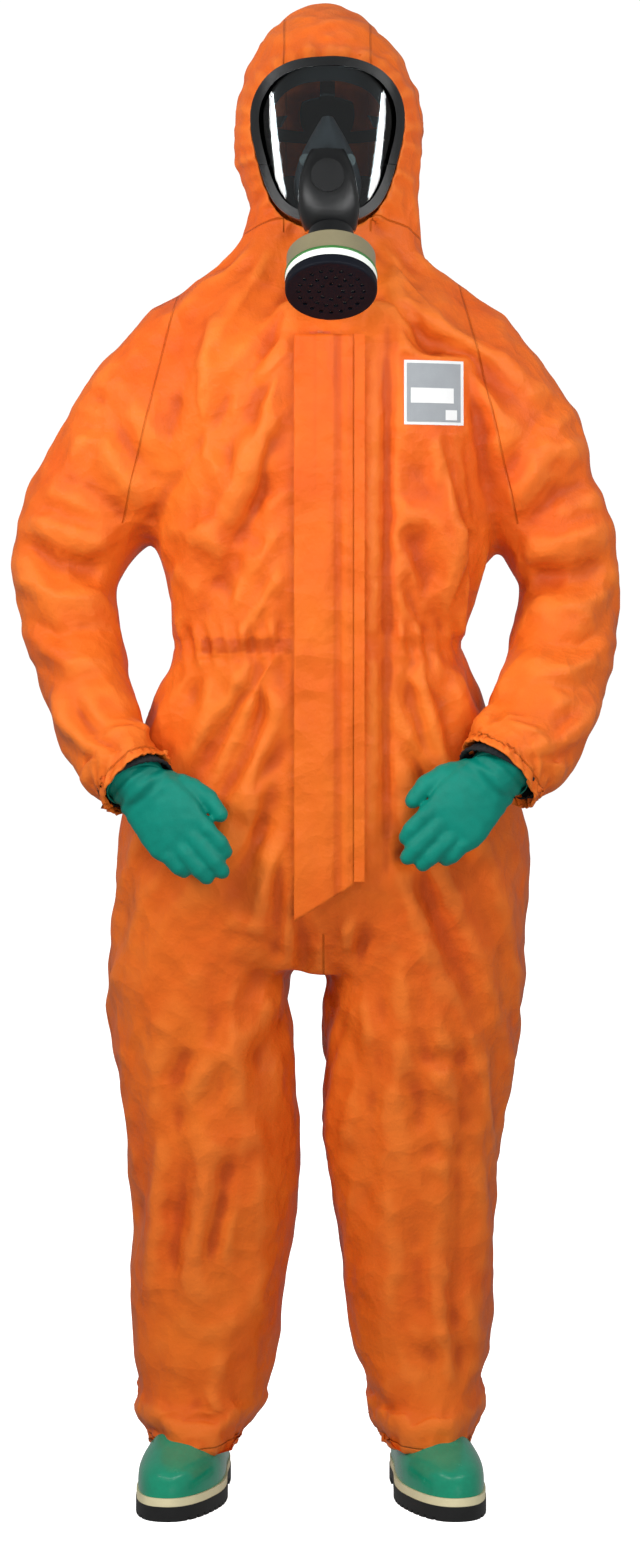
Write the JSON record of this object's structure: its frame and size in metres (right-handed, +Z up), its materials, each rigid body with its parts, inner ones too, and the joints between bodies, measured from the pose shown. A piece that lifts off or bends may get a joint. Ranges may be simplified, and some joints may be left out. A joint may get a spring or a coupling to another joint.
{
  "type": "chemical protective suit",
  "caption": "Hooded one-piece protective coverall worn with a full-face respirator, screw-in filter canister, gauntlet gloves and safety boots.",
  "frame": {"origin": "on the floor at the centre of the footprint box", "axes": "+Z up, the suit faces -Y, +X is the wearer's left"},
  "size_m": [0.7488, 0.4286, 1.829],
  "materials": {
    "suit_fabric": "crisp laminated film, satin",
    "elastic_fabric": "gathered",
    "cuff_knit": "matt knitted",
    "label_fabric": "printed woven",
    "zip_tape": "woven tape",
    "zip_plastic": "moulded",
    "zip_metal": "enamelled",
    "adhesive_liner": "smooth film",
    "glove_rubber": "satin nitrile",
    "boot_rubber": "glossy",
    "welt_rubber": "satin",
    "sole_rubber": "matt",
    "insole_fabric": "felt",
    "toe_steel": "plain",
    "visor_clear": "clear polycarbonate",
    "mask_plastic": "satin",
    "mask_rubber": "matt",
    "cup_rubber": "matt silicone",
    "valve_rubber": "thin silicone",
    "canister_shell": "satin enamel",
    "canister_band": "printed band",
    "canister_cap": "satin",
    "filter_paper": "pleated medium",
    "carbon": "granular",
    "buckle_metal": "stamped"
  },
  "bodies": {
    "coverall": {"ankle_elastic_left": "elastic_fabric", "ankle_elastic_right": "elastic_fabric", "back_panel": "suit_fabric", "boot_upper_left": "boot_rubber", "boot_upper_right": "boot_rubber", "boot_welts": "welt_rubber", "chest_label": "label_fabric", "crotch_gusset": "suit_fabric", "flap_seam_strip": "suit_fabric", "front_panel_left": "suit_fabric", "front_panel_right": "suit_fabric", "insoles": "insole_fabric", "outsole_left": "sole_rubber", "outsole_right": "sole_rubber", "seat_panel": "suit_fabric", "steel_toe_caps": "toe_steel", "trouser_leg_left": "suit_fabric", "trouser_leg_right": "suit_fabric", "waist_elastic": "elastic_fabric", "zip_stops": "zip_plastic", "zip_tape_left": "zip_tape", "zip_tape_right": "zip_tape", "zip_teeth_left": "zip_plastic", "zip_teeth_right": "zip_plastic"},
    "upper_arm_right": {"upper_sleeve_right": "suit_fabric"},
    "forearm_right": {"cuff_elastic_right": "cuff_knit", "fore_sleeve_right": "suit_fabric"},
    "glove_right": {"glove_right": "glove_rubber"},
    "upper_arm_left": {"upper_sleeve_left": "suit_fabric"},
    "forearm_left": {"cuff_elastic_left": "cuff_knit", "fore_sleeve_left": "suit_fabric"},
    "glove_left": {"glove_left": "glove_rubber"},
    "hood": {"hood_centre_panel": "suit_fabric", "hood_face_elastic": "elastic_fabric", "hood_side_panel_left": "suit_fabric", "hood_side_panel_right": "suit_fabric"},
    "mask": {"connector_ring": "mask_plastic", "exhalation_valve_cover": "mask_plastic", "exhalation_valve_disc": "valve_rubber", "exhalation_valve_seat": "mask_plastic", "face_seal": "mask_rubber", "front_housing": "mask_plastic", "harness_buckles": "buckle_metal", "head_harness": "mask_rubber", "inhalation_valve_discs": "valve_rubber", "inner_mask": "cup_rubber", "visor_frame_lower": "mask_plastic", "visor_frame_upper": "mask_plastic", "visor_lens": "visor_clear"},
    "canister_travel": {"canister_gasket": "mask_rubber"},
    "canister": {"canister_band": "canister_band", "canister_body": "canister_shell", "canister_cap": "canister_cap", "carbon_bed": "carbon", "particle_filter": "filter_paper"},
    "slider": {"zip_slider": "zip_metal"},
    "pull_tab": {"zip_pull_tab": "zip_metal"},
    "flap": {"flap_adhesive_tape": "adhesive_liner", "storm_flap": "suit_fabric"}
  },
  "joints": [
    {"name": "shoulder_right", "type": "hinge", "parent": "coverall", "child": "upper_arm_right", "pos_m": [-0.1656, 0.06274, 1.5], "axis": [0, 1, 0], "range_deg": [0, 35]},
    {"name": "elbow_right", "type": "hinge", "parent": "upper_arm_right", "child": "forearm_right", "pos_m": [-0.27454, -0.01001, 1.13063], "axis": [-0.8567, -0.5006, 0.1242], "range_deg": [0, 20]},
    {"name": "glove_off_right", "type": "slide", "parent": "forearm_right", "child": "glove_right", "axis": [0.3545, -0.5942, -0.722], "range_m": [0, 0.11]},
    {"name": "shoulder_left", "type": "hinge", "parent": "coverall", "child": "upper_arm_left", "pos_m": [0.1724, 0.06274, 1.5], "axis": [0, -1, 0], "range_deg": [0, 35]},
    {"name": "elbow_left", "type": "hinge", "parent": "upper_arm_left", "child": "forearm_left", "pos_m": [0.25876, 0.00107, 1.1178], "axis": [-0.7104, 0.6968, -0.099], "range_deg": [0, 20]},
    {"name": "glove_off_left", "type": "slide", "parent": "forearm_left", "child": "glove_left", "axis": [-0.3745, -0.6217, -0.6879], "range_m": [0, 0.11]},
    {"name": "head_turn", "type": "hinge", "parent": "coverall", "child": "hood", "pos_m": [0.0054, 0.06074, 1.536], "axis": [0, 0, 1], "range_deg": [-20, 20]},
    {"name": "mask_off", "type": "slide", "parent": "hood", "child": "mask", "axis": [0, -1, 0], "range_m": [0, 0.12]},
    {"name": "canister_travel", "type": "slide", "parent": "mask", "child": "canister_travel", "axis": [0, -0.5736, -0.8192], "range_m": [0, 0.0109]},
    {"name": "canister_spin", "type": "hinge", "parent": "canister_travel", "child": "canister", "pos_m": [0.0134, -0.13799, 1.50651], "axis": [0, -0.5736, -0.8192], "range_deg": [0, 1080]},
    {"name": "zip_slide", "type": "slide", "parent": "coverall", "child": "slider", "axis": [0, 0, -1], "range_m": [0, 0.6]},
    {"name": "pull_tab_swing", "type": "hinge", "parent": "slider", "child": "pull_tab", "pos_m": [0.0004, -0.10146, 1.3964], "axis": [-1, 0, 0], "range_deg": [0, 6]},
    {"name": "flap_open", "type": "hinge", "parent": "coverall", "child": "flap", "pos_m": [0.04065, -0.10906, 1.065], "axis": [0, 0, 1], "range_deg": [0, 120]}
  ],
  "couplings": [
    {"joint": "canister_travel", "follows": "canister_spin", "m_per_rad": 0.0005775}
  ]
}
